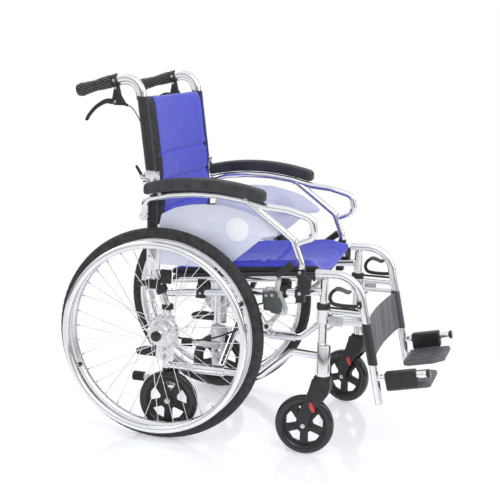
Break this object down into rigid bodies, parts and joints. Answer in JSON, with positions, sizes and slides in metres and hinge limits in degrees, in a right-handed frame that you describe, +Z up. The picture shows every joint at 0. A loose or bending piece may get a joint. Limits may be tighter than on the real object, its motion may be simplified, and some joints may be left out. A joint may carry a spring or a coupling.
{
  "type": "wheelchair",
  "caption": "Folding self-propelled wheelchair with half-folding back, flip-back arms, swing-away leg rests, transit wheels and drum brakes.",
  "frame": {"origin": "on the floor under the middle of the chair's overall length and width", "axes": "+Z up, -Y the way the seated person looks, +X the person's left"},
  "size_m": [0.6464, 0.9942, 0.9558],
  "materials": {
    "alloy": "polished",
    "steel": "plated",
    "tyre": "matte",
    "black_plastic": "moulded",
    "grey_plastic": "moulded",
    "blue_fabric": "woven",
    "black_fabric": "woven",
    "guard": "translucent"
  },
  "bodies": {
    "right_frame": {"side_frame_right": "alloy", "axle_plate_right": "alloy", "transit_bracket_right": "steel", "tipping_grip_right": "black_plastic", "hub_brake_right": "steel", "lower_cane_right": "alloy", "brake_cable_right": "black_plastic", "back_lower": "blue_fabric"},
    "left_frame": {"side_frame_left": "alloy", "axle_plate_left": "alloy", "transit_bracket_left": "steel", "tipping_grip_left": "black_plastic", "hub_brake_left": "steel", "lower_cane_left": "alloy", "brake_cable_left": "black_plastic"},
    "cross_right": {"cross_brace_right": "alloy"},
    "cross_left": {"cross_brace_left": "alloy"},
    "seat": {"seat_cushion": "blue_fabric"},
    "rear_wheel_right": {"rear_wheel_right": "alloy", "rear_tyre_right": "tyre", "handrim_right": "alloy"},
    "transit_wheel_right": {"transit_wheel_right": "tyre"},
    "castor_right": {"castor_fork_right": "grey_plastic"},
    "castor_wheel_right": {"castor_wheel_right": "tyre"},
    "back_top_right": {"upper_cane_right": "alloy", "push_grip_right": "black_plastic", "lever_bracket_right": "black_plastic", "back_upper": "blue_fabric"},
    "attendant_lever_right": {"attendant_lever_right": "black_plastic"},
    "release_lever_right": {"release_lever_right": "black_plastic"},
    "armrest_right": {"armrest_frame_right": "alloy", "arm_pad_right": "black_plastic", "side_guard_right": "guard"},
    "brake_lever_right": {"parking_brake_lever_right": "steel"},
    "brake_shoe_right": {"parking_brake_shoe_right": "steel"},
    "leg_rest_right": {"hanger_right": "alloy", "calf_strap": "black_fabric"},
    "leg_rest_lever_right": {"hanger_lever_right": "black_plastic"},
    "foot_rest_right": {"footplate_right": "grey_plastic", "footplate_sleeve_right": "black_plastic"},
    "rear_wheel_left": {"rear_wheel_left": "alloy", "rear_tyre_left": "tyre", "handrim_left": "alloy"},
    "transit_wheel_left": {"transit_wheel_left": "tyre"},
    "castor_left": {"castor_fork_left": "grey_plastic"},
    "castor_wheel_left": {"castor_wheel_left": "tyre"},
    "back_top_left": {"upper_cane_left": "alloy", "push_grip_left": "black_plastic", "lever_bracket_left": "black_plastic"},
    "attendant_lever_left": {"attendant_lever_left": "black_plastic"},
    "release_lever_left": {"release_lever_left": "black_plastic"},
    "armrest_left": {"armrest_frame_left": "alloy", "arm_pad_left": "black_plastic", "side_guard_left": "guard"},
    "brake_lever_left": {"parking_brake_lever_left": "steel"},
    "brake_shoe_left": {"parking_brake_shoe_left": "steel"},
    "leg_rest_left": {"hanger_left": "alloy"},
    "leg_rest_lever_left": {"hanger_lever_left": "black_plastic"},
    "foot_rest_left": {"footplate_left": "grey_plastic", "footplate_sleeve_left": "black_plastic"}
  },
  "joints": [
    {"name": "frame_fold", "type": "hinge", "parent": "right_frame", "child": "cross_right", "pos_m": [-0.22, 0.0616, 0.188], "axis": [0, -1, 0], "range_deg": [0, 47], "deforming": ["seat_cushion", "back_lower", "back_upper", "calf_strap"]},
    {"name": "side_slide", "type": "slide", "parent": "right_frame", "child": "left_frame", "axis": [-1, 0, 0], "range_m": [0, 0.305]},
    {"name": "cross_left_fold", "type": "hinge", "parent": "left_frame", "child": "cross_left", "pos_m": [0.22, 0.0366, 0.188], "axis": [0, 1, 0], "range_deg": [0, 47.5]},
    {"name": "seat_lift", "type": "slide", "parent": "right_frame", "child": "seat", "axis": [0, 0, 1], "range_m": [0, 0.23]},
    {"name": "rear_wheel_spin_right", "type": "hinge", "parent": "right_frame", "child": "rear_wheel_right", "pos_m": [-0.26, 0.2146, 0.2825], "axis": [1, 0, 0], "continuous": true},
    {"name": "transit_wheel_spin_right", "type": "hinge", "parent": "right_frame", "child": "transit_wheel_right", "pos_m": [-0.2235, 0.2006, 0.092], "axis": [1, 0, 0], "continuous": true},
    {"name": "castor_swivel_right", "type": "hinge", "parent": "right_frame", "child": "castor_right", "pos_m": [-0.24, -0.2224, 0.212], "axis": [0, 0, 1], "continuous": true},
    {"name": "castor_spin_right", "type": "hinge", "parent": "castor_right", "child": "castor_wheel_right", "pos_m": [-0.24, -0.1804, 0.078], "axis": [1, 0, 0], "continuous": true},
    {"name": "backrest_fold_right", "type": "hinge", "parent": "right_frame", "child": "back_top_right", "pos_m": [-0.22, 0.2746, 0.676], "axis": [1, 0, 0], "range_deg": [-100, 0]},
    {"name": "attendant_lever_pull_right", "type": "hinge", "parent": "back_top_right", "child": "attendant_lever_right", "pos_m": [-0.22, 0.3666, 0.882], "axis": [-1, 0, 0], "range_deg": [-18, 0], "stiffness_Nm_per_rad": 0.4, "springref_deg": 11.46},
    {"name": "release_lever_press_right", "type": "hinge", "parent": "back_top_right", "child": "release_lever_right", "pos_m": [-0.22, 0.2881, 0.69], "axis": [-1, 0, 0], "range_deg": [-14, 0], "stiffness_Nm_per_rad": 0.1, "springref_deg": 11.46},
    {"name": "armrest_flip_right", "type": "hinge", "parent": "right_frame", "child": "armrest_right", "pos_m": [-0.246, 0.2706, 0.59], "axis": [1, 0, 0], "range_deg": [-100, 0]},
    {"name": "parking_brake_pull_right", "type": "hinge", "parent": "right_frame", "child": "brake_lever_right", "pos_m": [-0.2384, -0.0874, 0.398], "axis": [1, 0, 0], "range_deg": [-30, 0]},
    {"name": "parking_brake_press_right", "type": "hinge", "parent": "right_frame", "child": "brake_shoe_right", "pos_m": [-0.2431, -0.1074, 0.372], "axis": [1, 0, 0], "range_deg": [0, 8.5]},
    {"name": "leg_rest_swing_right", "type": "hinge", "parent": "right_frame", "child": "leg_rest_right", "pos_m": [-0.22, -0.2124, 0.4725], "axis": [0, 0, 1], "range_deg": [-90, 0], "deforming": ["calf_strap"]},
    {"name": "leg_rest_release_right", "type": "hinge", "parent": "leg_rest_right", "child": "leg_rest_lever_right", "pos_m": [-0.22, -0.3069, 0.402], "axis": [-1, 0, 0], "range_deg": [-14, 0], "stiffness_Nm_per_rad": 0.1, "springref_deg": 11.46},
    {"name": "footplate_flip_right", "type": "hinge", "parent": "leg_rest_right", "child": "foot_rest_right", "pos_m": [-0.22, -0.3599, 0.2145], "axis": [0, -0.9782, 0.2079], "range_deg": [0, 90]},
    {"name": "rear_wheel_spin_left", "type": "hinge", "parent": "left_frame", "child": "rear_wheel_left", "pos_m": [0.26, 0.2146, 0.2825], "axis": [1, 0, 0], "continuous": true},
    {"name": "transit_wheel_spin_left", "type": "hinge", "parent": "left_frame", "child": "transit_wheel_left", "pos_m": [0.2235, 0.2006, 0.092], "axis": [1, 0, 0], "continuous": true},
    {"name": "castor_swivel_left", "type": "hinge", "parent": "left_frame", "child": "castor_left", "pos_m": [0.24, -0.2224, 0.212], "axis": [0, 0, 1], "continuous": true},
    {"name": "castor_spin_left", "type": "hinge", "parent": "castor_left", "child": "castor_wheel_left", "pos_m": [0.25298, -0.18246, 0.078], "axis": [0.9511, -0.309, 0], "continuous": true},
    {"name": "backrest_fold_left", "type": "hinge", "parent": "left_frame", "child": "back_top_left", "pos_m": [0.22, 0.2746, 0.676], "axis": [1, 0, 0], "range_deg": [-100, 0]},
    {"name": "attendant_lever_pull_left", "type": "hinge", "parent": "back_top_left", "child": "attendant_lever_left", "pos_m": [0.22, 0.3666, 0.882], "axis": [-1, 0, 0], "range_deg": [-18, 0], "stiffness_Nm_per_rad": 0.4, "springref_deg": 11.46},
    {"name": "release_lever_press_left", "type": "hinge", "parent": "back_top_left", "child": "release_lever_left", "pos_m": [0.22, 0.2881, 0.69], "axis": [-1, 0, 0], "range_deg": [-14, 0], "stiffness_Nm_per_rad": 0.1, "springref_deg": 11.46},
    {"name": "armrest_flip_left", "type": "hinge", "parent": "left_frame", "child": "armrest_left", "pos_m": [0.246, 0.2706, 0.59], "axis": [1, 0, 0], "range_deg": [-100, 0]},
    {"name": "parking_brake_pull_left", "type": "hinge", "parent": "left_frame", "child": "brake_lever_left", "pos_m": [0.2384, -0.0874, 0.398], "axis": [1, 0, 0], "range_deg": [-30, 0]},
    {"name": "parking_brake_press_left", "type": "hinge", "parent": "left_frame", "child": "brake_shoe_left", "pos_m": [0.2431, -0.1074, 0.372], "axis": [1, 0, 0], "range_deg": [0, 8.5]},
    {"name": "leg_rest_swing_left", "type": "hinge", "parent": "left_frame", "child": "leg_rest_left", "pos_m": [0.22, -0.2124, 0.4725], "axis": [0, 0, -1], "range_deg": [-90, 0], "deforming": ["calf_strap"]},
    {"name": "leg_rest_release_left", "type": "hinge", "parent": "leg_rest_left", "child": "leg_rest_lever_left", "pos_m": [0.22, -0.3069, 0.402], "axis": [-1, 0, 0], "range_deg": [-14, 0], "stiffness_Nm_per_rad": 0.1, "springref_deg": 11.46},
    {"name": "footplate_flip_left", "type": "hinge", "parent": "leg_rest_left", "child": "foot_rest_left", "pos_m": [0.22, -0.3599, 0.2145], "axis": [0, 0.9782, -0.2079], "range_deg": [0, 90]}
  ],
  "couplings": [
    {"joint": "side_slide", "follows": "frame_fold", "m_per_rad": 0.37},
    {"joint": "cross_left_fold", "follows": "frame_fold", "ratio": 1},
    {"joint": "seat_lift", "follows": "frame_fold", "m_per_rad": 0.273},
    {"joint": "parking_brake_press_right", "follows": "parking_brake_pull_right", "ratio": -0.27},
    {"joint": "footplate_flip_right", "follows": "frame_fold", "ratio": 1.9},
    {"joint": "parking_brake_press_left", "follows": "parking_brake_pull_left", "ratio": -0.27},
    {"joint": "footplate_flip_left", "follows": "frame_fold", "ratio": 1.9},
    {"joint": "backrest_fold_left", "follows": "backrest_fold_right", "ratio": 1}
  ]
}
